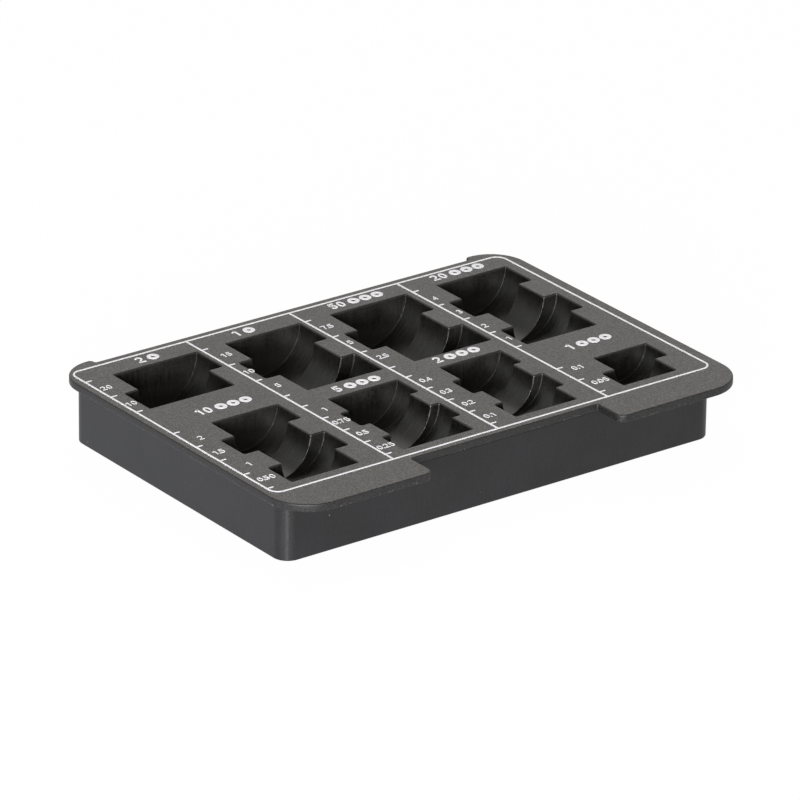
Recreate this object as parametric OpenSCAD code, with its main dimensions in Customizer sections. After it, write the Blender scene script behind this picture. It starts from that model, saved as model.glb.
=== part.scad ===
// Coin-counting tray: a flat moulded insert whose stepped half-round troughs
// hold euro coins on edge in groups, with a printed scale of the running value.
// Every trough is worked out from the coin it holds, and the deck, the skirt
// and the print from the troughs. Lengths are millimetres.
// X runs along the rows, Y to the rear, Z up from the table.

/* [Coins of the rear row] */
// Diameter of the 2 euro coin
two_euro_d = 25.75; // [22:0.05:30]
// Thickness of the 2 euro coin
two_euro_t = 2.2; // [1.5:0.01:3]
// Groups of coins in the 2 euro trough
two_euro_groups = 2; // [1:1:3]
// Diameter of the 1 euro coin
one_euro_d = 23.25; // [20:0.05:28]
// Thickness of the 1 euro coin
one_euro_t = 2.33; // [1.5:0.01:3]
// Groups of coins in the 1 euro trough
one_euro_groups = 3; // [1:1:4]
// Diameter of the 50 cent coin
fifty_cent_d = 24.25; // [20:0.05:28]
// Thickness of the 50 cent coin
fifty_cent_t = 2.38; // [1.5:0.01:3]
// Groups of coins in the 50 cent trough
fifty_cent_groups = 3; // [1:1:4]
// Diameter of the 20 cent coin
twenty_cent_d = 22.25; // [19:0.05:27]
// Thickness of the 20 cent coin
twenty_cent_t = 2.14; // [1.5:0.01:3]
// Groups of coins in the 20 cent trough
twenty_cent_groups = 4; // [2:1:5]

/* [Coins of the front row] */
// Diameter of the 10 cent coin
ten_cent_d = 19.75; // [17:0.05:24]
// Thickness of the 10 cent coin
ten_cent_t = 1.93; // [1.4:0.01:2.6]
// Groups of coins in the 10 cent trough
ten_cent_groups = 4; // [2:1:5]
// Diameter of the 5 cent coin
five_cent_d = 21.25; // [18:0.05:25]
// Thickness of the 5 cent coin
five_cent_t = 1.67; // [1.4:0.01:2.4]
// Groups of coins in the 5 cent trough
five_cent_groups = 4; // [2:1:5]
// Diameter of the 2 cent coin
two_cent_d = 18.75; // [16:0.05:23]
// Thickness of the 2 cent coin
two_cent_t = 1.67; // [1.4:0.01:2.4]
// Groups of coins in the 2 cent trough
two_cent_groups = 4; // [2:1:5]
// Diameter of the 1 cent coin
one_cent_d = 16.25; // [14:0.05:20]
// Thickness of the 1 cent coin
one_cent_t = 1.67; // [1.4:0.01:2.4]
// Groups of coins in the 1 cent trough
one_cent_groups = 2; // [1:1:4]

/* [Troughs] */
// Coins standing in one group
coins_per_group = 5; // [3:1:6]
// Play across the coin's diameter
coin_play = 1.75; // [1:0.05:3]
// Play along one group of coins
group_play = 1.1; // [0.6:0.05:2]
// Sideways step from one group to the next
group_step = 5; // [3:0.1:6]
// Sideways step in the 5 and 2 cent troughs
small_step = 3.4; // [2:0.1:5]
// Wall of a trough
trough_wall = 1.2; // [0.8:0.05:2]
// Free gap between the two troughs that come closest side by side
trough_gap = 2.2; // [1:0.1:5]
// Free gap between the skirt and the outermost troughs
skirt_gap = 0.25; // [0.15:0.05:2]
// How far the front row starts to the right of the rear row
front_shift = 0.4; // [0:0.05:1.5]
// Extra spacing of the troughs in the front row
front_spread = 0.35; // [0:0.05:0.8]

/* [Deck] */
// Thickness of the deck plate
deck_t = 2.2; // [1.6:0.1:3]
// Rounding of the deck's upper edge
edge_round = 0.3; // [0.15:0.05:0.8]
// Rounding of the deck's lower edge
under_round = 0.5; // [0.15:0.05:0.7]
// Radius of the deck's four outer corners
corner_r = 11; // [6:0.5:12]
// Deck beyond the printed border at the left
left_margin = 2.4; // [1.8:0.1:4]
// Deck beyond the printed border at the right
right_margin = 3.6; // [1.8:0.1:4]
// Deck beyond the printed border at the front
front_margin = 2.3; // [1.6:0.1:4]
// Deck beyond the printed border at the rear
rear_margin = 1.9; // [1.2:0.1:4]
// Length of each front lug along the front edge
front_lug_w = 44.8; // [30:0.2:60]
// Reach of the front lugs beyond the deck's front edge
front_lug_reach = 10.4; // [6:0.1:16]
// Radius at the free end of a front lug
front_lug_r = 2.5; // [1.2:0.1:5]
// Length of each rear lug along the rear edge
rear_lug_w = 12.5; // [10:0.5:30]
// Reach of the rear lugs beyond the deck's rear edge
rear_lug_reach = 2.5; // [2:0.1:8]
// Radius at the free end of a rear lug
rear_lug_r = 1.5; // [1.1:0.1:2]
// Radius in the notch where a lug leaves the deck's edge
notch_r = 0.5; // [0.2:0.05:0.8]

/* [Skirt] */
// Wall of the skirt
skirt_wall = 1.4; // [1:0.05:2.5]
// Outer radius of the skirt's upright corners
skirt_r = 4.6; // [3:0.1:8]
// Deck's overhang past the skirt at the left and right
side_lip = 4; // [2.8:0.1:6]
// Deck's overhang past the skirt at the front and rear
end_lip = 0.6; // [0.4:0.05:2]
// Clear height under the deepest trough
foot_gap = 5.2; // [4.5:0.1:12]

/* [Print] */
// Thickness of the printed ink
ink_t = 0.08; // [0.05:0.01:0.15]
// Width of the border and divider lines
line_w = 0.55; // [0.4:0.05:1]
// Width of a scale tick
tick_w = 0.45; // [0.3:0.05:0.8]
// Length of a scale tick beyond its line
tick_l = 1.8; // [1.2:0.1:2.8]
// Corner radius of the border, on the line's middle
border_r = 3; // [2:0.1:6]
// Bare strip between the border and the front row
front_strip = 3.7; // [2.6:0.1:6]
// Heading strip between the two rows where they come closest
middle_strip = 7.6; // [6:0.1:14]
// Heading strip between the rear row and the border
rear_strip = 7.5; // [6:0.1:14]
// Gap from the first rear trough to the divider on its right
first_divider_gap = 1.35; // [0.9:0.05:2.4]
// Gap from the second rear trough to the divider on its right
second_divider_gap = 1.45; // [0.9:0.05:2.4]
// Gap from the third rear trough to the divider on its right
third_divider_gap = 2.1; // [0.9:0.05:2.4]

/* [Hidden] */
$fn = 64;
black_plastic = [0.12, 0.12, 0.12];
white_ink = [0.95, 0.95, 0.95];

// One coin is [diameter, thickness, groups, sideways step]
rear_row = [
    [two_euro_d, two_euro_t, two_euro_groups, group_step],
    [one_euro_d, one_euro_t, one_euro_groups, group_step],
    [fifty_cent_d, fifty_cent_t, fifty_cent_groups, group_step],
    [twenty_cent_d, twenty_cent_t, twenty_cent_groups, group_step]
];
front_row = [
    [ten_cent_d, ten_cent_t, ten_cent_groups, group_step],
    [five_cent_d, five_cent_t, five_cent_groups, small_step],
    [two_cent_d, two_cent_t, two_cent_groups, small_step],
    [one_cent_d, one_cent_t, one_cent_groups, group_step]
];
last = len(rear_row) - 1;

function well_r(coin) = (coin[0] + coin_play) / 2;
function group_l(coin) = coins_per_group * coin[1] + group_play;
function well_l(coin) = coin[2] * group_l(coin);
// Half the width that a trough's zigzag takes up
function half_w(coin) = well_r(coin) + coin[3] / 2;

// Spacing of the troughs, from the two neighbours that need the most room
function pair_w(row) = max([for (k = [0:last - 1]) half_w(row[k]) + half_w(row[k + 1])]);
rear_pitch = max(pair_w(rear_row), pair_w(front_row)) + 2 * trough_wall + trough_gap;
front_pitch = rear_pitch + front_spread;

// Printed border, with the troughs kept clear of the skirt at both sides
to_skirt = side_lip + skirt_wall + skirt_gap + trough_wall;
first_axis = to_skirt - left_margin + half_w(rear_row[0]);
rear_reach = first_axis + last * rear_pitch + half_w(rear_row[last]);
front_reach = first_axis + front_shift + last * front_pitch + half_w(front_row[last]);
border_w = max(rear_reach, front_reach) + to_skirt - right_margin;
rows_l = max([for (k = [0:last]) well_l(rear_row[k]) + well_l(front_row[k])]);
border_d = front_strip + rows_l + middle_strip + rear_strip;

// Deck, centred on the origin with its lugs
deck_w = left_margin + border_w + right_margin;
rim_d = front_margin + border_d + rear_margin;
deck_d = front_lug_reach + rim_d + rear_lug_reach;
left_x = -deck_w / 2;
right_x = deck_w / 2;
front_y = -deck_d / 2;
rear_y = deck_d / 2;
rim_front_y = front_y + front_lug_reach;
rim_rear_y = rear_y - rear_lug_reach;
border_x = left_x + left_margin;
border_y = rim_front_y + front_margin;
rear_wells_y = border_y + border_d - rear_strip;
front_wells_y = border_y + front_strip;

// Heights, from the deepest trough
deepest_r = max([for (coin = concat(rear_row, front_row)) well_r(coin)]);
top_z = foot_gap + trough_wall + deepest_r;
under_z = top_z - deck_t;

// Lines that the scales stand on: the border's left side, then the dividers
function rear_axis(k) = border_x + first_axis + k * rear_pitch;
function front_axis(k) = border_x + first_axis + front_shift + k * front_pitch;
divider_gaps = [first_divider_gap, second_divider_gap, third_divider_gap];
function line_x(k) =
    k == 0 ? border_x : rear_axis(k - 1) + half_w(rear_row[k - 1]) + divider_gaps[k - 1];

// Deck outline, anticlockwise: [x, y, radius] of each square corner. A rear
// corner leaves a short flat before the round tip of its lug.
least_flat = 0.3;
front_tip_r = min(front_lug_r, front_lug_reach / 2);
rear_tip_r = min(rear_lug_r, rear_lug_reach / 2);
rear_corner_r = min(corner_r, rear_lug_w - rear_tip_r - least_flat);
deck_corners = [
    [left_x, front_y, corner_r],
    [left_x + front_lug_w, front_y, front_tip_r],
    [left_x + front_lug_w, rim_front_y, notch_r],
    [right_x - front_lug_w, rim_front_y, notch_r],
    [right_x - front_lug_w, front_y, front_tip_r],
    [right_x, front_y, corner_r],
    [right_x, rear_y, rear_corner_r],
    [right_x - rear_lug_w, rear_y, rear_tip_r],
    [right_x - rear_lug_w, rim_rear_y, notch_r],
    [left_x + rear_lug_w, rim_rear_y, notch_r],
    [left_x + rear_lug_w, rear_y, rear_tip_r],
    [left_x, rear_y, rear_corner_r]
];
border_corners = [
    [border_x, border_y, border_r],
    [border_x + border_w, border_y, border_r],
    [border_x + border_w, border_y + border_d, border_r],
    [border_x, border_y + border_d, border_r]
];
// Swept rim of the deck, and the edge of the flat slab that it goes round
round_reach = max(edge_round, under_round);
rim_w = (round_reach + min(front_tip_r, rear_tip_r)) / 2;
slab_inset = (round_reach + rim_w) / 2;
// Steps of a quarter arc: a wide corner, a tight one, and a rounded edge
wide_steps = 14;
tight_steps = 6;
edge_steps = 4;
wide_from_r = 3;

function flat(p) = [p.x, p.y];
function way(from, to) = (flat(to) - flat(from)) / norm(flat(to) - flat(from));
function turn(a, b) = sign(a.x * b.y - a.y * b.x);

// Quarter arc at corner i of an outline that is drawn in by inset. The arc's
// centre stays, so outward corners get a smaller radius and notches a larger one.
function corner_arc(corners, i, inset) =
    let (
        n = len(corners),
        r = corners[i][2],
        in = way(corners[(i + n - 1) % n], corners[i]),
        out = way(corners[i], corners[(i + 1) % n]),
        centre = flat(corners[i]) + r * (out - in),
        reach = r - turn(in, out) * inset,
        steps = r < wide_from_r ? tight_steps : wide_steps
    )
    [for (s = [0:steps]) centre + reach * (in * sin(90 * s / steps) - out * cos(90 * s / steps))];

function outline(corners, inset = 0) =
    [for (i = [0:len(corners) - 1]) each corner_arc(corners, i, inset)];

// Section of the deck's rim: [inset from the outline, height], anticlockwise
edge_angles = [for (s = [0:edge_steps]) 90 * s / edge_steps];
rim_section = concat(
    [[rim_w, under_z]],
    [for (a = edge_angles) [under_round * (1 - sin(a)), under_z + under_round * (1 - cos(a))]],
    [for (a = edge_angles) [edge_round * (1 - cos(a)), top_z - edge_round * (1 - sin(a))]],
    [[rim_w, top_z]]
);

// Closed section carried once round an outline
module swept_rim(corners, section) {
    n = len(outline(corners));
    m = len(section);
    polyhedron(
        points = [for (s = section) for (p = outline(corners, s[0])) [p.x, p.y, s[1]]],
        faces = [for (k = [0:m - 1]) for (i = [0:n - 1])
            let (j = (i + 1) % n, next = (k + 1) % m)
            [k * n + i, next * n + i, next * n + j, k * n + j]],
        convexity = 8
    );
}

// Round bar along Y
module bar_y(x, y, r, l) {
    translate([x, y, top_z])
        rotate([-90, 0, 0])
            cylinder(r = r, h = l);
}

// Group g of a trough as a round bar, made larger all over by grow. Groups are
// counted from the rear, and step right and left of the trough's axis in turn.
module group_bar(coin, axis_x, rear_end_y, g, grow = 0) {
    side = g % 2 == 0 ? 1 : -1;
    bar_y(
        axis_x + side * coin[3] / 2,
        rear_end_y - (g + 1) * group_l(coin) - grow,
        well_r(coin) + grow,
        group_l(coin) + 2 * grow
    );
}

// Space that the coins of one trough lie in
module well(coin, axis_x, rear_end_y) {
    for (g = [0:coin[2] - 1])
        group_bar(coin, axis_x, rear_end_y, g);
}

// Shell round that space, from the deck's underside down
module trough(coin, axis_x, rear_end_y) {
    color(black_plastic)
        difference() {
            for (g = [0:coin[2] - 1])
                group_bar(coin, axis_x, rear_end_y, g, trough_wall);
            well(coin, axis_x, rear_end_y);
            translate([left_x, front_y, under_z])
                cube([deck_w, deck_d, deck_t + deepest_r + 2 * trough_wall]);
        }
}

module rear_trough(k) {
    trough(rear_row[k], rear_axis(k), rear_wells_y);
}

module front_trough(k) {
    trough(front_row[k], front_axis(k), front_wells_y + well_l(front_row[k]));
}

module deck_plate() {
    color(black_plastic)
        difference() {
            union() {
                swept_rim(deck_corners, rim_section);
                translate([0, 0, under_z])
                    linear_extrude(height = deck_t)
                        polygon(outline(deck_corners, slab_inset));
            }
            for (k = [0:last]) {
                well(rear_row[k], rear_axis(k), rear_wells_y);
                well(front_row[k], front_axis(k), front_wells_y + well_l(front_row[k]));
            }
        }
}

// Wall ring of straight panels and bent corners
module skirt() {
    x0 = left_x + side_lip;
    x1 = right_x - side_lip;
    y0 = rim_front_y + end_lip;
    y1 = rim_rear_y - end_lip;
    color(black_plastic)
        union() {
            for (x = [x0, x1 - skirt_wall])
                translate([x, y0 + skirt_r, 0])
                    cube([skirt_wall, y1 - y0 - 2 * skirt_r, under_z]);
            for (y = [y0, y1 - skirt_wall])
                translate([x0 + skirt_r, y, 0])
                    cube([x1 - x0 - 2 * skirt_r, skirt_wall, under_z]);
            for (corner = [[x1, y1, 0], [x0, y1, 90], [x0, y0, 180], [x1, y0, 270]])
                translate([
                    corner.x + (corner.x == x0 ? skirt_r : -skirt_r),
                    corner.y + (corner.y == y0 ? skirt_r : -skirt_r),
                    0
                ])
                    rotate([0, 0, corner.z])
                        rotate_extrude(angle = 90)
                            translate([skirt_r - skirt_wall, 0])
                                square([skirt_wall, under_z]);
        }
}

// Layer of ink on the deck
module ink() {
    color(white_ink)
        translate([0, 0, top_z])
            linear_extrude(height = ink_t)
                children();
}

module print_border() {
    ink()
        difference() {
            polygon(outline(border_corners, -line_w / 2));
            polygon(outline(border_corners, line_w / 2));
        }
}

module print_dividers() {
    ink()
        for (k = [1:last])
            translate([line_x(k) - line_w / 2, border_y + line_w / 2])
                square([line_w, border_d - line_w]);
}

// Ticks at the ends of a trough's groups, on the line at its left
module scale_ticks(coin, k, rear_end_y) {
    ink()
        for (g = [0:coin[2]])
            translate([line_x(k) + line_w / 2, rear_end_y - g * group_l(coin) - tick_w / 2])
                square([tick_l, tick_w]);
}

module rear_scale(k) {
    scale_ticks(rear_row[k], k, rear_wells_y);
}

module front_scale(k) {
    scale_ticks(front_row[k], k, front_wells_y + well_l(front_row[k]));
}

deck_plate();
skirt();
rear_trough(0);  // trough_2_euro
rear_trough(1);  // trough_1_euro
rear_trough(2);  // trough_50_cent
rear_trough(3);  // trough_20_cent
front_trough(0);  // trough_10_cent
front_trough(1);  // trough_5_cent
front_trough(2);  // trough_2_cent
front_trough(3);  // trough_1_cent
print_border();
print_dividers();
rear_scale(0);  // scale_2_euro
rear_scale(1);  // scale_1_euro
rear_scale(2);  // scale_50_cent
rear_scale(3);  // scale_20_cent
front_scale(0);  // scale_10_cent
front_scale(1);  // scale_5_cent
front_scale(2);  // scale_2_cent
front_scale(3);  // scale_1_cent
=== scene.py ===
"""Looks of a coin-counting tray: a black moulded deck, its skirt, eight stepped troughs for coins
standing on edge, and the white print on top. Lengths are metres; MM turns millimetres into metres."""
import math

import bmesh
import bpy
import numpy as np
from mathutils import Matrix, Vector
from mathutils.geometry import tessellate_polygon


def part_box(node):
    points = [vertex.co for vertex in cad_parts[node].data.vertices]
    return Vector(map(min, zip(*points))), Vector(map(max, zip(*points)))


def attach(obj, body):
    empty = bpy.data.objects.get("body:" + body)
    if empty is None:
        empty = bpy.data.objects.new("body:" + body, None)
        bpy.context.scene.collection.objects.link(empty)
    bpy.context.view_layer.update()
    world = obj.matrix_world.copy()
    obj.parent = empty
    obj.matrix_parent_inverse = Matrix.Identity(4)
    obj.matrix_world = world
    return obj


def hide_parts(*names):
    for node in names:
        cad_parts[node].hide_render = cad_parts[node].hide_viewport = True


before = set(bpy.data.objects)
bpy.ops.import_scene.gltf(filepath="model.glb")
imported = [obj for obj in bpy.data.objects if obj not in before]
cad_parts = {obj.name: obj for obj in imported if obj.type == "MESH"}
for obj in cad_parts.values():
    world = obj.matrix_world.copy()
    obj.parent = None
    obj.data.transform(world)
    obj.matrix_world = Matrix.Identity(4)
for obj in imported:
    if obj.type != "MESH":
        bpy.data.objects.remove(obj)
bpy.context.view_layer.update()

MM = 0.001

# Camera, as it stands to the front left of the tray and looks down on it
AIM = Vector((-11.045, -13.777, 20.273)) * MM
DISTANCE = 1.8634
AZIMUTH = math.radians(36.82)
ELEVATION = math.radians(23.71)
ROLL = math.radians(0.784)
SENSOR_MM = 36
LENS_MM = 312.3

# Deck outline and edges
FRONT_LUG_W = 44.8 * MM
FRONT_LUG_REACH = 10.4 * MM
FRONT_LUG_R = 2.5 * MM
REAR_LUG_W = 12.5 * MM
REAR_LUG_REACH = 1.9 * MM
REAR_LUG_R = 1.25 * MM
CORNER_R = 12.3 * MM
REAR_CORNER_R = 10.95 * MM
NOTCH_R = 0.5 * MM
EDGE_ROUND = 0.45 * MM
UNDER_ROUND = 0.25 * MM

# Skirt
SKIRT_R = 4.6 * MM
SKIRT_WALL = 1.4 * MM
SKIRT_ROUND = 0.35 * MM
SHADOW_GAP = 0.35 * MM
# Pale upright streak round every skirt corner, partly scuffing and partly painted highlight
SCUFF_HIGHLIGHT_TURN = math.radians(52)
SCUFF_HIGHLIGHT_HALF = math.radians(5)

# Troughs
TROUGH_WALL = 1.2 * MM
INNER_FILLET = 0.15 * MM
OUTER_FILLET = 0.5 * MM
RIM_FILLET = 0.55 * MM
MOUTH_ROUND = 0.45 * MM
MOUTH_LIP = 0.06 * MM
SUPPORT = 0.1 * MM

# Shares: of a trough's half-width, how far the rim's fillet reaches in and how wide the crossing of
# two half-rounds is; of a crescent, how much a fillet may take; of an end wall, where its rings lie
RIM_PART = 0.2
CROSSING = 0.125
FILLET_SHARE = 0.45
WALL_RINGS = (0, 0.35, 0.7)

# Steps of rounded corners and edges
CORNER_STEPS = 20
EDGE_STEPS = 8
UNDER_STEPS = 4
FOOT_STEPS = 5
MOUTH_STEPS = 5
FILLET_STEPS = 6

# Print: every number with its middle, in mm to the right of the scale's line and behind the
# middle of its group; every heading with its middle from the trough's axis and its rear end
INK = 0.08 * MM
NUMBER_H = 2.3 * MM
NUMBER_PEN = 0.125
HEADING_H = 3.5 * MM
HEADING_PEN = 0.17
TROUGHS = {
    "2_euro": {
        "numbers": (("20", 2.4, -0.1), ("10", 1.9, -0.5)),
        "heading": ("2", 2.5, 4.1), "coins": 1},
    "1_euro": {
        "numbers": (("15", 3.5, 0.1), ("10", 1.9, 0.0), ("5", 3.0, 0.7)),
        "heading": ("1", -1.3, 4.2), "coins": 1},
    "50_cent": {
        "numbers": (("7.5", 2.8, 0.2), ("5", 1.6, 0.9), ("2.5", 3.2, 1.0)),
        "heading": ("50", 1.3, 4.5), "coins": 3},
    "20_cent": {
        "numbers": (("4", 2.2, -1.1), ("3", 2.0, -0.9), ("2", 1.8, -0.9), ("1", 2.0, 0.1)),
        "heading": ("20", 0.8, 4.7), "coins": 3},
    "10_cent": {
        "numbers": (("2", 4.2, -1.0), ("1.5", 2.9, -0.4), ("1", 5.0, -0.5), ("0.50", 3.6, 0.4)),
        "heading": ("10", 0.6, 7.5), "coins": 3},
    "5_cent": {
        "numbers": (("1", 3.9, 0.0), ("0.75", 3.0, 0.6), ("0.5", 3.1, 0.6), ("0.25", 3.1, -0.4)),
        "heading": ("5", 2.4, 4.2), "coins": 3},
    "2_cent": {
        "numbers": (("0.4", 3.2, 0.4), ("0.3", 3.1, 0.4), ("0.2", 3.3, 0.3), ("0.1", 3.1, -0.2)),
        "heading": ("2", 0.2, 4.6), "coins": 3},
    "1_cent": {
        "numbers": (("0.1", 5.2, 2.5), ("0.05", 4.6, 1.1)),
        "heading": ("1", -0.9, 10.0), "coins": 3},
}

DECK_LO, DECK_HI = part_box("deck_plate")
TOP = DECK_HI.z
UNDER = DECK_LO.z
QUARTER = math.pi / 2
JOIN = 0.0004 * MM
TINY = 1e-9
SMOOTH = 35


# Meshes

def grid_faces(rows, columns, closed_rows=False, closed_columns=False, start=0):
    """Corner numbers of the quads between the lines of a grid of points stored row by row.
    A closed way also joins its last line to its first."""
    i = np.arange(rows if closed_rows else rows - 1)[:, None]
    j = np.arange(columns if closed_columns else columns - 1)[None, :]
    below = (i + 1) % rows
    beside = (j + 1) % columns
    quads = np.stack(
        [i * columns + j, i * columns + beside, below * columns + beside, below * columns + j], axis=-1)
    return quads.reshape(-1, 4) + start


def new_piece(name, points, faces, slot, material, smooth_to=SMOOTH, **attributes):
    """Closed piece from points and faces: joins the points that meet, turns the faces outwards and
    shades smoothly over edges that bend less than smooth_to degrees."""
    mesh = bpy.data.meshes.new(name)
    mesh.from_pydata(np.asarray(points).tolist(), [], [list(f) for f in faces])
    for key, values in attributes.items():
        layer = mesh.attributes.new(key, "FLOAT", "POINT")
        layer.data.foreach_set("value", np.asarray(values, np.float32))
    shell = bmesh.new()
    shell.from_mesh(mesh)
    bmesh.ops.remove_doubles(shell, verts=shell.verts, dist=JOIN)
    bmesh.ops.recalc_face_normals(shell, faces=shell.faces)
    shell.to_mesh(mesh)
    shell.free()
    mesh.shade_smooth()
    mesh.set_sharp_from_angle(angle=math.radians(smooth_to))
    mesh.materials.append(material)
    piece = bpy.data.objects.new(name, mesh)
    bpy.context.scene.collection.objects.link(piece)
    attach(piece, "root")
    return piece


# Outlines with rounded corners

def outline(corners, inset=0.0):
    """Closed outline, anticlockwise, of corners given as (x, y, radius). Each corner is a quarter
    arc about a centre that stays where it is when the outline is drawn in by inset."""
    at = np.array([c[:2] for c in corners])
    radius = np.array([c[2] for c in corners])[:, None, None]
    ahead = np.roll(at, -1, axis=0) - at
    ahead /= np.linalg.norm(ahead, axis=1)[:, None]
    before = np.roll(ahead, 1, axis=0)
    turn = np.sign(before[:, 0] * ahead[:, 1] - before[:, 1] * ahead[:, 0])[:, None, None]
    centre = at[:, None] + radius * (ahead - before)[:, None]
    angle = np.linspace(0, QUARTER, CORNER_STEPS + 1)[None, :, None]
    spoke = before[:, None] * np.sin(angle) - ahead[:, None] * np.cos(angle)
    return (centre + (radius - turn * inset) * spoke).reshape(-1, 2)


def at_height(loop, z):
    """Points (x, y) lifted to the height z."""
    return np.column_stack([loop, np.full(len(loop), z)])


def carried_round(corners, section):
    """Grid of a section carried round an outline: row k is the outline drawn in by the section's
    k-th inset, at the section's k-th height."""
    return np.array([at_height(outline(corners, inset), z) for inset, z in section])


def quarter_round(radius, steps):
    """Insets and drops of a rounded edge from its flat side to its upright side."""
    angle = np.linspace(0, QUARTER, steps + 1)
    return radius * (1 - np.sin(angle)), radius * (1 - np.cos(angle))


# Trough surfaces

class Trough:
    """Sizes of one trough, read from its solid's box: the half-round well's radius, the sideways
    step of its groups, and the places of its axis, ends and groups."""

    def __init__(self, key):
        lo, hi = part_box("trough_" + key)
        self.groups = len(TROUGHS[key]["numbers"])
        self.radius = TOP - lo.z - TROUGH_WALL
        self.step = hi.x - lo.x - 2 * (self.radius + TROUGH_WALL)
        self.axis = (lo.x + hi.x) / 2
        self.rear = hi.y - TROUGH_WALL
        self.front = lo.y + TROUGH_WALL
        self.length = (self.rear - self.front) / self.groups

    def side(self, group):
        """Right (1) or left (-1) of the axis; the rearmost group stands to the right."""
        return 1 - 2 * (group % 2)

    def middle_x(self, group):
        """Place of a group's own axis along X."""
        return self.axis + self.side(group) * self.step / 2

    def middle_y(self, group):
        """Place of a group's middle along Y."""
        return self.rear - (group + 0.5) * self.length


HALF_COLUMNS = 34
ACROSS = np.linspace(-1, 1, 2 * HALF_COLUMNS + 1)


def half_round(radius, split, drop):
    """Half-round section: x = radius * sin(angle) and depth = radius * cos(angle). The angle runs
    from the left edge through the split angle in the middle column to the right edge, and both
    edges lie drop below the circle's centre."""
    edge = math.acos(drop / radius)
    angle = split + np.where(ACROSS < 0, edge + split, edge - split) * ACROSS
    return radius * np.sin(angle), radius * np.cos(angle)


def end_rows(trough, group, radius, fillet, drop, end_y, inwards):
    """Rows of an end wall, from its pole at the edge's height out to the wall's foot, and round the
    fillet into the half-round. inwards is the way along Y from the wall into the trough. Each row
    ends with its marks as a crest, as a foot and as an upright wall: the fillet is a foot, strongest
    in its middle."""
    split = -trough.side(group) * math.asin(trough.step / 2 / radius)
    x0 = trough.middle_x(group)
    foot_x, foot_depth = half_round(radius - fillet, split, drop)
    none = np.zeros_like(ACROSS)
    rows = [
        (x0 + k * foot_x, none + end_y, drop + k * (foot_depth - drop), none, none, none + 1)
        for k in (*WALL_RINGS, 1 - SUPPORT / (radius - fillet), 1)]
    for turn in np.linspace(0, QUARTER, FILLET_STEPS + 1)[1:]:
        x, depth = half_round(radius - fillet * (1 - math.sin(turn)), split, drop)
        y = end_y + inwards * fillet * (1 - math.cos(turn))
        rows.append((x0 + x, none + y, depth, none, none + math.sin(2 * turn), none + math.cos(turn)))
    x, depth = half_round(radius, split, drop)
    rows.append((x0 + x, none + end_y + inwards * (fillet + SUPPORT), depth, none, none, none))
    return rows


def step_rows(trough, group, radius, fillet, drop, grow):
    """Rows of the step from one group to the next: along the first half-round, round an edge, over
    the crescent between the two half-rounds, and round an edge into the second. Both half-rounds
    share the point where they cross, so the crescents narrow to nothing there. Where the second
    half-round lies further out, the first edge is a crest and the second a foot; elsewhere the
    first is the foot. Marks are strongest in the middle of an edge. Towards the mouth the edges
    grow rounder, up to the rim's fillet. A skin that is made larger by grow has its walls moved by
    as much, one way left of the crossing and the other way right of it."""
    lean = math.asin(trough.step / 2 / radius)
    side = trough.side(group)
    x_a, depth_a = half_round(radius, -side * lean, drop)
    x_b, depth_b = half_round(radius, side * lean, drop)
    x_a, x_b = x_a + trough.middle_x(group), x_b + trough.middle_x(group + 1)
    width = np.hypot(x_b - x_a, depth_b - depth_a)
    near_rim = np.clip((np.abs(ACROSS) - 1) / RIM_PART + 1, 0, 1)
    round_r = np.minimum(fillet + near_rim * max(RIM_FILLET - fillet, 0), FILLET_SHARE * width)
    moved = side * grow * np.clip(ACROSS / CROSSING, -1, 1)
    wall_y = trough.rear - (group + 1) * trough.length - moved
    turn = np.linspace(0, QUARTER, FILLET_STEPS + 1)[:, None]
    y = np.vstack([
        wall_y + round_r + SUPPORT, wall_y + round_r * (1 - np.sin(turn)),
        wall_y - round_r * (1 - np.cos(turn)), wall_y - round_r - SUPPORT])
    gone = np.vstack([
        0 * width, round_r * (1 - np.cos(turn)),
        width - round_r * (1 - np.sin(turn)), width])
    share = gone / np.maximum(width, TINY)
    strength = np.minimum(width / fillet, 1) * np.minimum(fillet / np.maximum(round_r, SUPPORT), 1)
    # Strength of the crest and foot marks, which place the painted highlights and wear
    bend = np.sin(2 * turn) * strength
    none = np.zeros((1, len(ACROSS)))
    first = np.vstack([none, bend, 0 * bend, none])
    second = np.vstack([none, 0 * bend, bend, none])
    outwards = side * ACROSS < 0
    crest = np.where(outwards, first, second)
    foot = np.where(outwards, second, first)
    wall = np.vstack([none, np.sin(turn) + none, np.cos(turn) + none, none])
    x = x_a + share * (x_b - x_a)
    depth = depth_a + share * (depth_b - depth_a)
    return list(zip(x, y, depth, crest, foot, wall))


def trough_skin(trough, grow, fillet, drop):
    """Grid of a trough's skin from the rear pole to the front pole, made larger all over by grow,
    with its edges drop below the deck's top, and its marks by name."""
    radius = trough.radius + grow
    last = trough.groups - 1
    rows = end_rows(trough, 0, radius, fillet, drop, trough.rear + grow, -1)
    for group in range(last):
        rows += step_rows(trough, group, radius, fillet, drop, grow)
    rows += end_rows(trough, last, radius, fillet, drop, trough.front - grow, 1)[::-1]
    x, y, depth, *marks = np.array(rows).transpose(1, 0, 2)
    return np.stack([x, y, TOP - depth], axis=-1), dict(zip(("crest", "foot", "wall"), marks))


def rim_loop(skin):
    """Closed loop of a skin's edge, clockwise from the rear pole: down the right edge to the front
    pole and back along the left edge."""
    return np.vstack([skin[:, -1], skin[-2:0:-1, 0]])


def widened(loop, by):
    """Clockwise loop moved outwards by a distance, along the mean normal of its neighbour edges."""
    along = np.roll(loop, -1, axis=0)[:, :2] - loop[:, :2]
    along /= np.linalg.norm(along, axis=1)[:, None]
    normal = np.column_stack([-along[:, 1], along[:, 0]])
    normal = normal + np.roll(normal, 1, axis=0)
    normal /= np.linalg.norm(normal, axis=1)[:, None]
    return loop[:, :2] + by * normal


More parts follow.
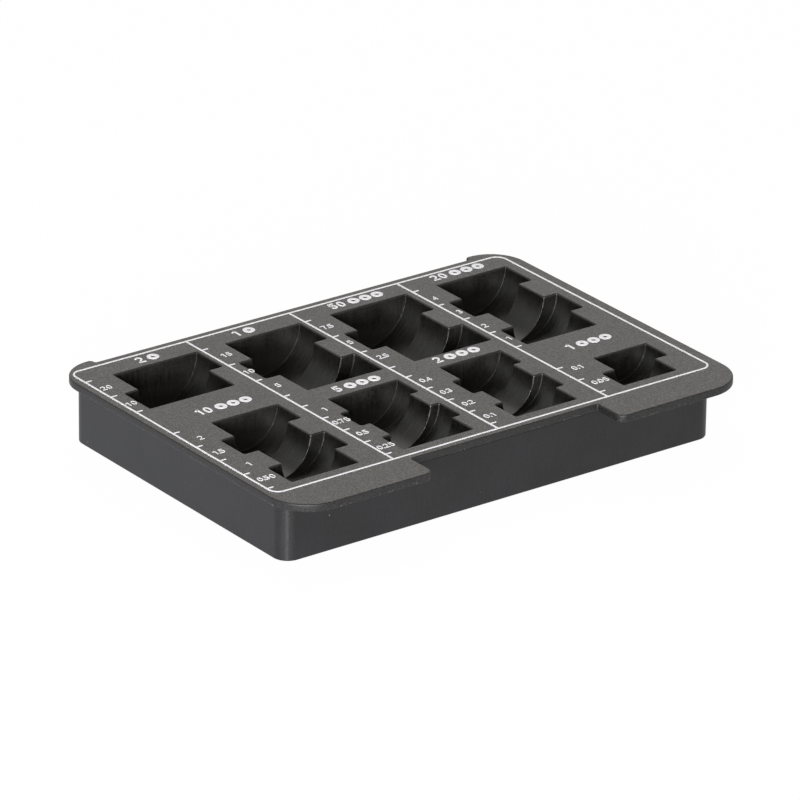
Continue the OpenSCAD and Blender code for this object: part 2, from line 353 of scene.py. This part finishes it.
def mouth_loop(trough):
    """Loop on the deck's top where a trough's mouth ends and the flat deck begins."""
    skin = trough_skin(trough, 0, INNER_FILLET, MOUTH_ROUND)[0]
    return widened(rim_loop(skin), MOUTH_ROUND + MOUTH_LIP)


def make_trough(key, material):
    """Closed shell of a trough: the well's skin, its rounded mouth in the deck's opening, and the
    outer skin under the deck."""
    trough = Trough(key)
    inner, inner_marks = trough_skin(trough, 0, INNER_FILLET, MOUTH_ROUND)
    outer = trough_skin(trough, TROUGH_WALL, OUTER_FILLET, TOP - UNDER)[0]
    edge = rim_loop(inner)
    inset, drop = quarter_round(MOUTH_ROUND, MOUTH_STEPS)
    levels = [(i, TOP - d) for i, d in zip(inset[::-1], drop[::-1])]
    levels += [(MOUTH_ROUND + MOUTH_LIP, TOP), (MOUTH_ROUND + MOUTH_LIP, UNDER)]
    loops = np.array([at_height(widened(edge, out), z) for out, z in levels])
    loops = np.concatenate([loops, rim_loop(outer)[None]])
    points = np.concatenate([inner.reshape(-1, 3), loops.reshape(-1, 3), outer.reshape(-1, 3)])
    skin_shape = inner.shape[:2]
    faces = np.concatenate([
        grid_faces(*skin_shape),
        grid_faces(*loops.shape[:2], closed_columns=True, start=inner.shape[0] * inner.shape[1]),
        grid_faces(*skin_shape, start=len(points) - outer.shape[0] * outer.shape[1])])
    marks = {name: np.pad(mark.ravel(), (0, len(points) - mark.size))
             for name, mark in inner_marks.items()}
    piece = new_piece("well_" + key, points, faces, "black_plastic", material, **marks)
    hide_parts("trough_" + key)


# Deck and skirt

def flat_fill(loops, z):
    """Triangles of the flat area inside the first loop and outside the others, with their points."""
    rings = [[Vector((x, y, 0)) for x, y in loop / MM] for loop in loops]
    return at_height(np.vstack(loops), z), np.array(tessellate_polygon(rings))


def deck_corners():
    """Corners of the deck, anticlockwise from the front left, with their radii."""
    x0, y0, x1, y1 = DECK_LO.x, DECK_LO.y, DECK_HI.x, DECK_HI.y
    front, rear = y0 + FRONT_LUG_REACH, y1 - REAR_LUG_REACH
    return [
        (x0, y0, CORNER_R),
        (x0 + FRONT_LUG_W, y0, FRONT_LUG_R), (x0 + FRONT_LUG_W, front, NOTCH_R),
        (x1 - FRONT_LUG_W, front, NOTCH_R), (x1 - FRONT_LUG_W, y0, FRONT_LUG_R),
        (x1, y0, CORNER_R), (x1, y1, REAR_CORNER_R),
        (x1 - REAR_LUG_W, y1, REAR_LUG_R), (x1 - REAR_LUG_W, rear, NOTCH_R),
        (x0 + REAR_LUG_W, rear, NOTCH_R), (x0 + REAR_LUG_W, y1, REAR_LUG_R),
        (x0, y1, REAR_CORNER_R)]


def make_deck(material):
    """Deck plate: a rounded rim carried round the outline, flat top and underside with the mouths
    of the troughs left out, and upright walls in the mouths."""
    top_in, top_drop = quarter_round(EDGE_ROUND, EDGE_STEPS)
    low_in, low_rise = quarter_round(UNDER_ROUND, UNDER_STEPS)
    section = [(EDGE_ROUND + SUPPORT, TOP)]
    section += [(i, TOP - d) for i, d in zip(top_in, top_drop)]
    section += [(i, UNDER + d) for i, d in zip(low_in[::-1], low_rise[::-1])]
    section += [(UNDER_ROUND + SUPPORT, UNDER)]
    rim = carried_round(deck_corners(), section)
    mouths = [mouth_loop(Trough(key)) for key in TROUGHS]
    points = [rim.reshape(-1, 3)]
    faces = grid_faces(*rim.shape[:2], closed_columns=True).tolist()
    count = rim.shape[0] * rim.shape[1]
    for row, z in ((rim[0], TOP), (rim[-1], UNDER)):
        flat, triangles = flat_fill([row[:, :2]] + mouths, z)
        points.append(flat)
        faces += (triangles + count).tolist()
        count += len(flat)
    for mouth in mouths:
        wall = np.array([at_height(mouth, z) for z in (TOP, UNDER)])
        points.append(wall.reshape(-1, 3))
        faces += grid_faces(*wall.shape[:2], closed_columns=True, start=count).tolist()
        count += wall.shape[0] * wall.shape[1]
    piece = new_piece("deck", np.concatenate(points), faces, "black_plastic", material)
    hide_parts("deck_plate")


def make_skirt(material):
    """Skirt: a closed wall section with a rounded foot, carried round a rounded rectangle. Its upper
    outer edge is cut back at a slant, which leaves a thin shadow line under the deck. Each corner
    bears a narrow pale upright streak at the turn where the near corner faces the camera: partly
    scuffing, partly a painted highlight."""
    lo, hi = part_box("skirt")
    places = ((lo.x, lo.y), (hi.x, lo.y), (hi.x, hi.y), (lo.x, hi.y))
    corners = [(x, y, SKIRT_R) for x, y in places]
    inset, rise = quarter_round(SKIRT_ROUND, FOOT_STEPS)
    foot_top = lo.z + SKIRT_ROUND + SUPPORT
    section = [(SHADOW_GAP, UNDER), (0, UNDER - SHADOW_GAP), (0, foot_top)]
    section += [(i, lo.z + d) for i, d in zip(inset[::-1], rise[::-1])]
    section += [(SKIRT_WALL - i, lo.z + d) for i, d in zip(inset, rise)]
    section += [(SKIRT_WALL, foot_top), (SKIRT_WALL, UNDER)]
    ring = carried_round(corners, section)
    faces = grid_faces(*ring.shape[:2], closed_rows=True, closed_columns=True)
    # Painted highlight and scuffing: a pale upright streak at the same turn into every corner
    turn = np.linspace(0, QUARTER, ring.shape[1] // len(corners))
    corner = np.clip(1 - np.abs(turn - SCUFF_HIGHLIGHT_TURN) / SCUFF_HIGHLIGHT_HALF, 0, 1)
    scuff = np.tile(corner, ring.shape[0] * len(corners))
    piece = new_piece("wall_ring", ring.reshape(-1, 3), faces, "black_plastic", material, scuff=scuff)
    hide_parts("skirt")


# Print: digits are drawn 1 high, and a heading's coin signs are as high as its number

DIGIT_W = 0.62
DIGIT_GAP = 0.17
DOT = 0.16
DOT_ROOM = 0.27
HEADING_GAP = 1.5 * MM
COIN_PITCH = 1.15
COIN_BAND = 0.32
ARC_STEPS = 15
OVAL_STEPS = 33
COIN_STEPS = 40
PRINT_SMOOTH = 20


def arc(x, y, across, up, start, end, steps=ARC_STEPS):
    """Points on an ellipse about (x, y), from one angle to another in degrees."""
    angle = np.radians(np.linspace(start, end, steps))
    return np.column_stack([x + across * np.cos(angle), y + up * np.sin(angle)])


def digit_lines(sign, pen):
    """Middle lines of the pen strokes of a plain digit, 1 high and DIGIT_W wide. A decimal point
    stands in the middle of its room, which begins at the digit before it."""
    half = pen / 2
    left, middle, right = half, DIGIT_W / 2, DIGIT_W - half
    top, foot, bowl = 1 - half, half, DIGIT_W / 2 - half
    if sign == "0":
        return [arc(middle, 0.5, bowl, 0.5 - half, 0, 360, OVAL_STEPS)]
    if sign == "1":
        return [[(0.4, 0), (0.4, 1)], [(0.08, 0.71), (0.22, 0.76), (0.34, 0.87), (0.4, 0.97)]]
    if sign == "2":
        hook = arc(middle, top - bowl, bowl, bowl, 165, -35)
        return [np.vstack([hook, [(left + 0.04, foot + 0.02)]]), [(0, foot), (DIGIT_W, foot)]]
    if sign == "3":
        return [arc(middle, 0.75, bowl - 0.02, top - 0.75, 165, -95),
                arc(middle, 0.29, bowl, 0.29 - half, 100, -165)]
    if sign == "4":
        return [[(0.46, 0), (0.46, 1)], [(0.45, 0.95), (left, 0.3)], [(0, 0.29), (DIGIT_W, 0.29)]]
    if sign == "5":
        return [[(DIGIT_W - 0.03, top), (0.09, top)], [(0.14, top), (0.09, 0.45)],
                arc(middle, 0.33, bowl, 0.33 - half, 145, -160)]
    if sign == "7":
        return [[(0, top), (DIGIT_W, top)], [(right, 0.93), (0.36, 0.5), (0.24, 0)]]
    dot_x = DOT_ROOM / 2 - DIGIT_GAP
    return [[(dot_x, 0), (dot_x, DOT)]]


def stroke(line, pen):
    """Flat closed bar along a line: a square section of the pen's width and height 1 stands across
    the line's mean direction at each of its points. A line that ends where it starts is a ring."""
    line = np.asarray(line, float)
    ring = np.allclose(line[0], line[-1])
    if ring:
        line = line[:-1]
        along = np.roll(line, -1, axis=0) - np.roll(line, 1, axis=0)
    else:
        along = np.gradient(line, axis=0)
    across = np.column_stack([-along[:, 1], along[:, 0]]) * pen / 2
    across /= np.linalg.norm(along, axis=1)[:, None]
    section = ((1, 0), (1, 1), (-1, 1), (-1, 0))
    bar = np.stack([at_height(line + side * across, z) for side, z in section], axis=1)
    faces = grid_faces(len(line), 4, closed_rows=ring, closed_columns=True)
    if not ring:
        faces = np.vstack([faces, [0, 1, 2, 3], np.arange(4) + 4 * (len(line) - 1)])
    return bar.reshape(-1, 3), faces


def lettering(words):
    """Points and faces of flat numbers on the deck. Every word is (text, x, y, height, pen), centred
    on its place and reading along X."""
    points, faces, count = [], [], 0
    for text, x, y, height, pen in words:
        steps = [DOT_ROOM - DIGIT_GAP if sign == "." else DIGIT_W + DIGIT_GAP for sign in text]
        start = (DIGIT_GAP - sum(steps)) / 2
        for sign, step in zip(text, steps):
            for line in digit_lines(sign, pen):
                bar, quads = stroke(line, DOT if sign == "." else pen)
                bar = (bar + np.array([start, -0.5, 0])) * np.array([height, height, INK])
                points.append(bar + np.array([x, y, TOP]))
                faces += (quads + count).tolist()
                count += len(bar)
            start += step
    return np.concatenate(points), faces


def coin_sign(x, y, outer, line, start):
    """Flat ring on the deck: a closed square section carried round a circle about (x, y)."""
    angle = np.linspace(0, 2 * math.pi, COIN_STEPS, endpoint=False)
    circle = np.column_stack([np.cos(angle), np.sin(angle)])
    section = [(outer, TOP), (outer, TOP + INK), (outer - line, TOP + INK), (outer - line, TOP)]
    ring = np.array([at_height(np.array([x, y]) + r * circle, z) for r, z in section])
    return ring.reshape(-1, 3), grid_faces(len(section), COIN_STEPS, True, True, start).tolist()


def make_print(key, material):
    """White numbers beside a trough's scale, and its heading: the coin's number and coin signs."""
    trough, spec = Trough(key), TROUGHS[key]
    line_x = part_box("scale_" + key)[0].x
    words = [(text, line_x + right * MM, trough.middle_y(g) + back * MM, NUMBER_H, NUMBER_PEN)
             for g, (text, right, back) in enumerate(spec["numbers"])]
    points, faces = lettering(words)
    new_piece("numbers_" + key, points, faces, "white_print", material, PRINT_SMOOTH)
    text, right, back = spec["heading"]
    number_w = (len(text) * (DIGIT_W + DIGIT_GAP) - DIGIT_GAP) * HEADING_H
    signs_w = (1 + (spec["coins"] - 1) * COIN_PITCH) * HEADING_H
    left = trough.axis + right * MM - (number_w + HEADING_GAP + signs_w) / 2
    y = trough.rear + back * MM
    points, faces = lettering([(text, left + number_w / 2, y, HEADING_H, HEADING_PEN)])
    points = [points]
    count = len(points[0])
    for k in range(spec["coins"]):
        x = left + number_w + HEADING_GAP + (0.5 + k * COIN_PITCH) * HEADING_H
        ring, quads = coin_sign(x, y, HEADING_H / 2, COIN_BAND * HEADING_H, count)
        points.append(ring)
        faces += quads
        count += len(ring)
    new_piece("heading_" + key, np.concatenate(points), faces, "white_print", material, PRINT_SMOOTH)


# Materials

IN_MM = (1000, 1000, 1000)
TOP_BAND = TOP - 0.06 * MM, TOP - 0.01 * MM
PLASTIC_IOR = 1.46
DECK_IOR = 1.41


class Value:
    """A shader socket that takes part in Python sums: each operator adds one Math node."""

    def __init__(self, tree, socket):
        self.tree = tree
        self.socket = socket

    def math(self, operation, *others, clamp=False):
        """Adds a Math node that works on the given values."""
        made = self.tree.nodes.new("ShaderNodeMath")
        made.operation = operation
        made.use_clamp = clamp
        for socket, value in zip(made.inputs, others):
            feed(self.tree, socket, value)
        return Value(self.tree, made.outputs[0])

    def __add__(self, other):
        return self.math("ADD", self, other)

    def __sub__(self, other):
        return self.math("SUBTRACT", self, other)

    def __mul__(self, other):
        return self.math("MULTIPLY", self, other)

    def __rsub__(self, other):
        return self.math("SUBTRACT", other, self)

    __radd__ = __add__
    __rmul__ = __mul__

    def ramp(self, start, end):
        """0 below start and 1 above end, straight between them."""
        return self.math("MULTIPLY", self - start, 1 / (end - start), clamp=True)


def feed(tree, socket, value):
    """Links a value's socket, or sets a plain number, colour or vector."""
    if isinstance(value, Value):
        tree.links.new(value.socket, socket)
    else:
        socket.default_value = value


class Finish:
    """Nodes of a material, or of the studio's surroundings, under construction."""

    def __init__(self, tree):
        self.tree = tree
        tree.nodes.clear()

    def node(self, kind, settings=None, inputs=None, out=0):
        """Adds a node: its settings first, then the values or links of its sockets."""
        made = self.tree.nodes.new(kind)
        for key, value in (settings or {}).items():
            setattr(made, key, value)
        for key, value in (inputs or {}).items():
            feed(self.tree, made.inputs[key], value)
        return Value(self.tree, made.outputs[out])

    def place(self, scale=IN_MM):
        """Place on the object, in millimetres or with a scale of its own along each axis."""
        coords = self.node("ShaderNodeTexCoord", out="Object")
        return self.node("ShaderNodeMapping", inputs={"Vector": coords, "Scale": scale})

    def height(self):
        """Height above the table in metres."""
        coords = self.node("ShaderNodeTexCoord", out="Object")
        return self.node("ShaderNodeSeparateXYZ", inputs={"Vector": coords}, out="Z")

    def on_top(self):
        """1 on the deck's top and 0 below it."""
        return self.height().ramp(*TOP_BAND)

    def noise(self, place, scale, detail=2.0, roughness=0.5):
        """Noise of about scale spots along each unit of the place."""
        return self.node("ShaderNodeTexNoise", inputs={
            "Vector": place, "Scale": scale, "Detail": detail, "Roughness": roughness})

    def mark(self, name):
        """Mark that a piece's mesh carries, from 0 to 1."""
        return self.node("ShaderNodeAttribute", {"attribute_name": name}, out="Fac")

    def mix(self, share, low, high):
        """Colour between low and high."""
        return self.node("ShaderNodeMix", {"data_type": "RGBA"}, {0: share, 6: low, 7: high}, out=2)

    def blend(self, share, low, high):
        """Number between low and high."""
        return low + share * (high - low)

    def along(self, place, way):
        """How far a place lies along a way, or how closely a direction follows it."""
        return self.node(
            "ShaderNodeVectorMath", {"operation": "DOT_PRODUCT"}, {0: place, 1: way}, out="Value")

    def seen(self):
        """1 for what the camera sees by itself, in gloss or through glass, 0 for what gives light."""
        rays = [self.node("ShaderNodeLightPath", out=key)
                for key in ("Is Camera Ray", "Is Glossy Ray", "Is Transmission Ray")]
        either = rays[0].math("MAXIMUM", rays[0], rays[1])
        return either.math("MAXIMUM", either, rays[2])

    def plastic(self, colour, rough, relief, ior=PLASTIC_IOR):
        """Surface of moulded plastic with a fine relief, given in metres."""
        normal = self.node("ShaderNodeBump", inputs={"Strength": 1.0, "Distance": 1.0, "Height": relief})
        return self.node("ShaderNodeBsdfPrincipled", inputs={
            "Base Color": colour, "Roughness": rough, "IOR": ior, "Normal": normal})

    def done(self, surface, output="ShaderNodeOutputMaterial"):
        """Joins the finished surface to the output."""
        end = self.tree.nodes.new(output)
        self.tree.links.new(surface.socket, end.inputs["Surface"])


def tone(level, red=0.0, blue=0.0):
    """Grey of a linear level with a little more or less red and blue."""
    return (level * (1 + red), level, level * (1 + blue), 1.0)


def finished(name, make):
    """New material whose nodes are made by a function."""
    material = bpy.data.materials.new(name)
    material.use_nodes = True
    make(Finish(material.node_tree))
    return material


# Deck
GRAIN_DARK = tone(0.002, 0.1, -0.1)
GRAIN_PALE = tone(0.085, 0.1, -0.1)
SIDE_DARK = tone(0.002)
SIDE_PALE = tone(0.013)
SIDE_SCUFF = tone(0.07)
SCUFF_BAND = UNDER + 0.3 * MM, UNDER + 0.9 * MM


def grained_top(s, mm):
    """Colour, roughness and relief of the deck's top: fine spark-eroded grain on warm black."""
    grain = s.noise(mm, 2.5, 1.0)
    fine = s.noise(mm, 4.5, 1.0)
    cloud = s.noise(mm, 0.05, 2.0)
    speckle = (0.7 * grain + 0.3 * fine).ramp(0.42, 0.72)
    colour = s.mix(speckle, GRAIN_DARK, GRAIN_PALE)
    rough = 0.24 + 0.12 * grain + 0.08 * cloud
    relief = 0.07 * MM * grain + 0.02 * MM * fine
    return colour, rough, relief


def deck_finish(s):
    """Grained top, smoother sides, and pale scuffs in places along the lower edge."""
    mm = s.place()
    colour, rough, relief = grained_top(s, mm)
    top = s.on_top()
    cloud = s.noise(mm, 0.3, 2.0)
    scratch = s.noise(mm, 2.0, 3.0, 0.7)
    low = 1 - s.height().ramp(*SCUFF_BAND)
    scuff = low * scratch.ramp(0.55, 0.68) * cloud.ramp(0.4, 0.6)
    side = s.mix(scratch.ramp(0.35, 0.65), SIDE_DARK, SIDE_PALE)
    side = s.mix(scuff, side, SIDE_SCUFF)
    side_rough = 0.44 + 0.1 * scratch
    side_relief = 0.02 * MM * scratch
    s.done(s.plastic(
        s.mix(top, side, colour), s.blend(top, side_rough, rough),
        s.blend(top, side_relief, relief), DECK_IOR))


# Skirt; its draw marks are long in height
SKIRT_DARK = tone(0.0003, 0.05, 0.3)
SKIRT_PALE = tone(0.005, 0.05, 0.3)
SKIRT_SPECK = tone(0.1)
# Colour of the corners' streak: scuffing and painted highlight
SKIRT_SCUFF_HIGHLIGHT = tone(0.022, 0, 0.1)
DRAW_SCALE = (2600, 2600, 130)


def skirt_finish(s):
    """Cool black walls with faint upright draw marks, a few pale specks, and on each corner a pale
    streak that is partly scuffing and partly a painted highlight.
    """
    mm = s.place()
    cloud = s.noise(mm, 0.08, 3.0)
    fine = s.noise(mm, 2.4, 2.0)
    draw = s.noise(s.place(DRAW_SCALE), 1.0, 2.0)
    shade = 0.3 * cloud + 0.45 * fine + 0.25 * draw
    colour = s.mix(shade.ramp(0.35, 0.65), SKIRT_DARK, SKIRT_PALE)
    specks = s.noise(mm, 0.9, 1.0).ramp(0.8, 0.84)
    colour = s.mix(specks, colour, SKIRT_SPECK)
    # Painted highlight and scuffing: the pale upright streak on each corner
    scuff = s.mark("scuff") * s.noise(mm, 0.6, 2.0).ramp(0.2, 0.5)
    colour = s.mix(scuff, colour, SKIRT_SCUFF_HIGHLIGHT)
    rough = 0.36 + 0.12 * fine
    relief = 0.03 * MM * fine + 0.012 * MM * draw
    s.done(s.plastic(colour, rough, relief))


# Troughs; streaks are long in height on the walls, and along X and Z on the half-rounds. A band is
# the height where something begins and the height where it is full.
WELL_DARK = tone(0.0005, 0.08, -0.1)
WELL_PALE = tone(0.015, 0.08, -0.1)
# Paler walls deep down: dust, and painted light in the deep shade
WELL_DUST_AND_PAINTED_LIGHT = tone(0.025, 0.1, -0.15)
# Painted shade of the half-rounds high up under the mouths
WELL_SHADE = tone(0.0005)
WELL_RUBBED = tone(0.024, 0.08, -0.1)
# Bright crests and feet: wear, and painted highlights of their glints
WELL_WEAR_HIGHLIGHT = tone(0.14)
UPRIGHT_SCALE = (3500, 3500, 130)
ROUND_SCALE = (130, 3500, 130)
SMEAR_SCALE = (220, 1400, 220)
ABOVE_DEEP = TOP - 12 * MM, TOP - 6 * MM
NEAR_MOUTH = TOP - 4 * MM, TOP - 1 * MM
SHADE_UNDER_MOUTH_BAND = TOP - 7 * MM, TOP - 1.5 * MM


def well_finish(s):
    """Smooth coin troughs with the marks of their mould: upright streaks on the walls, streaks round
    the half-rounds. Walls are paler deep down, with dust and painted light in the deep shade.
    Half-rounds are darker high up under the mouths, as painted shade, and are smeared where coins
    rub. Crests are painted bright in places, with wear and painted highlights, most of all half-way
    down, and the feet there a little."""
    mm = s.place()
    colour, rough, relief = grained_top(s, mm)
    top = s.on_top()
    cloud = s.noise(mm, 0.12, 3.0)
    upright = s.noise(s.place(UPRIGHT_SCALE), 1.0, 2.0)
    round_about = s.noise(s.place(ROUND_SCALE), 1.0, 2.0)
    upright_wall = s.mark("wall")
    streak = s.blend(upright_wall, round_about, upright)
    breaks = s.noise(mm, 0.7, 3.0, 0.6)
    dust = s.noise(mm, 1.6, 3.0, 0.6)
    shade = (0.3 * cloud + 0.3 * streak + 0.4 * dust).ramp(0.38, 0.66)
    wall = s.mix(shade, WELL_DARK, WELL_PALE)
    height = s.height()
    above_deep = height.ramp(*ABOVE_DEEP)
    middle = above_deep - height.ramp(*NEAR_MOUTH)
    # Dust and painted light: the upright walls paler deep down, where they lie in shade
    wall = s.mix(upright_wall * (1 - above_deep), wall, WELL_DUST_AND_PAINTED_LIGHT)
    half_round_part = 1 - upright_wall
    # Painted shade: half-rounds darker high up, under the mouths
    painted_shade_under_mouth = half_round_part * height.ramp(*SHADE_UNDER_MOUTH_BAND)
    smear = s.noise(s.place(SMEAR_SCALE), 1.0, 3.0, 0.6).ramp(0.5, 0.72)
    rubbed = half_round_part * (1 - painted_shade_under_mouth) * smear
    wall = s.mix(0.4 * painted_shade_under_mouth, wall, WELL_SHADE)
    wall = s.mix(rubbed, wall, WELL_RUBBED)
    # Painted highlight and wear: crests, and a little the feet, bright in broken places, most of all
    # half-way down
    foot = s.mark("foot")
    crest = s.mark("crest") * (0.3 + 0.7 * middle)
    wear_and_highlight = crest * breaks.ramp(0.45, 0.6) + 0.45 * foot * middle * breaks.ramp(0.42, 0.6)
    wall = s.mix(wear_and_highlight, wall, WELL_WEAR_HIGHLIGHT)
    wall_rough = 0.24 + 0.12 * streak + 0.12 * dust + 0.4 * foot - 0.08 * wear_and_highlight - 0.05 * painted_shade_under_mouth
    wall_relief = 0.02 * MM * streak + 0.035 * MM * dust
    s.done(s.plastic(
        s.mix(top, wall, colour), s.blend(top, wall_rough, rough),
        s.blend(top, wall_relief, relief)))


# Ink
INK_THIN = tone(0.57, 0, 0.035)
INK_FULL = tone(0.67, 0, 0.035)


def ink_finish(s):
    """Screen-printed ink: white with thinner, greyer specks."""
    mm = s.place()
    cover = s.noise(mm, 3.0, 2.0).ramp(0.3, 0.55)
    patches = s.noise(mm, 0.4, 2.0)
    rough = 0.5 + 0.15 * patches
    s.done(s.plastic(s.mix(cover, INK_THIN, INK_FULL), rough, 0.01 * MM * cover))


# Floor; the lit side is to the left of the object, as the camera sees it
WHITE = tone(1.0)
FLOOR_DULL = tone(0.83)
FLOOR_PALE = tone(0.85)
FLOOR_GLOW = 0.97
MIRRORED_FRONT = tone(0.82, 0.01, -0.01)
MIRRORED_LIT = tone(1.08, -0.01, 0.04)
LIT_SIDE = (-0.78, 0.62, 0)
LIT_FROM, LIT_TO = -50 * MM, 70 * MM


def floor_finish(s):
    """Pale floor that looks white to the camera and keeps part of its shadow. In reflections it is
    brighter on the lit side than in front of the object."""
    place = s.place((1, 1, 1))
    cloud = s.noise(place, 2.0)
    matt = s.node("ShaderNodeBsdfDiffuse", inputs={
        "Color": s.mix(cloud, FLOOR_DULL, FLOOR_PALE)})
    lit = s.along(place, LIT_SIDE).ramp(LIT_FROM, LIT_TO)
    mirrored = s.mix(lit, MIRRORED_FRONT, MIRRORED_LIT)
    direct = s.node("ShaderNodeLightPath", out="Is Camera Ray")
    glow = s.node("ShaderNodeEmission", inputs={
        "Color": s.mix(direct, mirrored, WHITE), "Strength": 1.0})
    s.done(s.node("ShaderNodeMixShader", inputs={0: FLOOR_GLOW * s.seen(), 1: matt, 2: glow}))


# Light, floor and camera

FLOOR_HALF = 4.0
WARM_SIDE = (0.6, 0.7, 0.4)
SWEEP_COOL = tone(1.0, -0.02, 0.02)
SWEEP_WARM = tone(1.0, 0.02, -0.02)
SWEEP_TOP = math.sin(math.radians(28)), math.sin(math.radians(50))
CEILING = tone(0.38)
PANEL_WAY = (0.224, 0.48, 0.848)
PANEL_EDGE = math.cos(math.radians(25)), math.cos(math.radians(16))
PANEL = tone(2.3, 0.04, -0.05)


def surroundings(s):
    """White sweep all round up to the height where the darker ceiling begins, a little warmer behind
    the right side and cooler in front of the left, and a warm panel overhead behind the object."""
    way = s.node("ShaderNodeTexCoord", out="Generated")
    warm = s.along(way, WARM_SIDE).ramp(-1, 1)
    tint = s.mix(warm, SWEEP_COOL, SWEEP_WARM)
    above = s.node("ShaderNodeSeparateXYZ", inputs={"Vector": way}, out="Z").ramp(*SWEEP_TOP)
    room = s.mix(above, tint, CEILING)
    room = s.mix(s.along(way, PANEL_WAY).ramp(*PANEL_EDGE), room, PANEL)
    direct = s.node("ShaderNodeLightPath", out="Is Camera Ray")
    s.done(s.node("ShaderNodeBackground", inputs={
        "Color": s.mix(direct, room, WHITE), "Strength": 1.0}), "ShaderNodeOutputWorld")


# Softboxes: turn from the camera's side in degrees, height of the middle above the table, distance,
# width, height and power
SOFTBOXES = {
    "key_softbox": (6, 0.33, 1.45, 0.9, 0.4, 34.0),
    "low_softbox": (7, 0.15, 1.4, 1.7, 0.28, 15.0),
}


def make_stage():
    """White surroundings, softboxes on the camera's side, floor and camera."""
    scene = bpy.context.scene
    scene.view_settings.view_transform = "Standard"
    world = bpy.data.worlds.new("studio")
    world.use_nodes = True
    surroundings(Finish(world.node_tree))
    scene.world = world

    for name, (turn, height, distance, width, tall, power) in SOFTBOXES.items():
        lamp = bpy.data.lights.new(name, "AREA")
        lamp.shape = "RECTANGLE"
        lamp.size, lamp.size_y, lamp.energy = width, tall, power
        box = bpy.data.objects.new(name, lamp)
        angle = AZIMUTH + math.radians(turn)
        box.location = (-distance * math.sin(angle), -distance * math.cos(angle), height)
        box.rotation_euler = (-box.location).to_track_quat("-Z", "Y").to_euler()
        box.visible_camera = False
        scene.collection.objects.link(box)

    corner = FLOOR_HALF * np.array([[-1, -1, 0], [1, -1, 0], [1, 1, 0], [-1, 1, 0]])
    mesh = bpy.data.meshes.new("floor")
    mesh.from_pydata(corner.tolist(), [], [[0, 1, 2, 3]])
    mesh.materials.append(finished("floor_white", floor_finish))
    floor = bpy.data.objects.new("floor", mesh)
    scene.collection.objects.link(floor)

    flat = Vector((math.sin(AZIMUTH), math.cos(AZIMUTH), 0))
    ahead = flat * math.cos(ELEVATION) - Vector((0, 0, math.sin(ELEVATION)))
    level = ahead.cross(Vector((0, 0, 1))).normalized()
    right = level * math.cos(ROLL) + level.cross(ahead) * math.sin(ROLL)
    up = right.cross(ahead)
    turn = Matrix((right, up, -ahead)).transposed().to_4x4()
    lens = bpy.data.cameras.new("camera")
    lens.sensor_width = SENSOR_MM
    lens.lens = LENS_MM
    camera = bpy.data.objects.new("camera", lens)
    camera.matrix_world = Matrix.Translation(AIM - DISTANCE * ahead) @ turn
    scene.collection.objects.link(camera)
    scene.camera = camera


def finish_node(name, material):
    """Gives a solid that is shown as it is its finished material."""
    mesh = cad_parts[name].data
    mesh.materials.clear()
    mesh.materials.append(material)


deck_plastic = finished("deck_plastic", deck_finish)
skirt_plastic = finished("skirt_plastic", skirt_finish)
well_plastic = finished("well_plastic", well_finish)
ink = finished("white_ink", ink_finish)

make_stage()
make_deck(deck_plastic)
make_skirt(skirt_plastic)
for key in TROUGHS:
    make_trough(key, well_plastic)
    make_print(key, ink)
    finish_node("scale_" + key, ink)
for name in ("print_border", "print_dividers"):
    finish_node(name, ink)
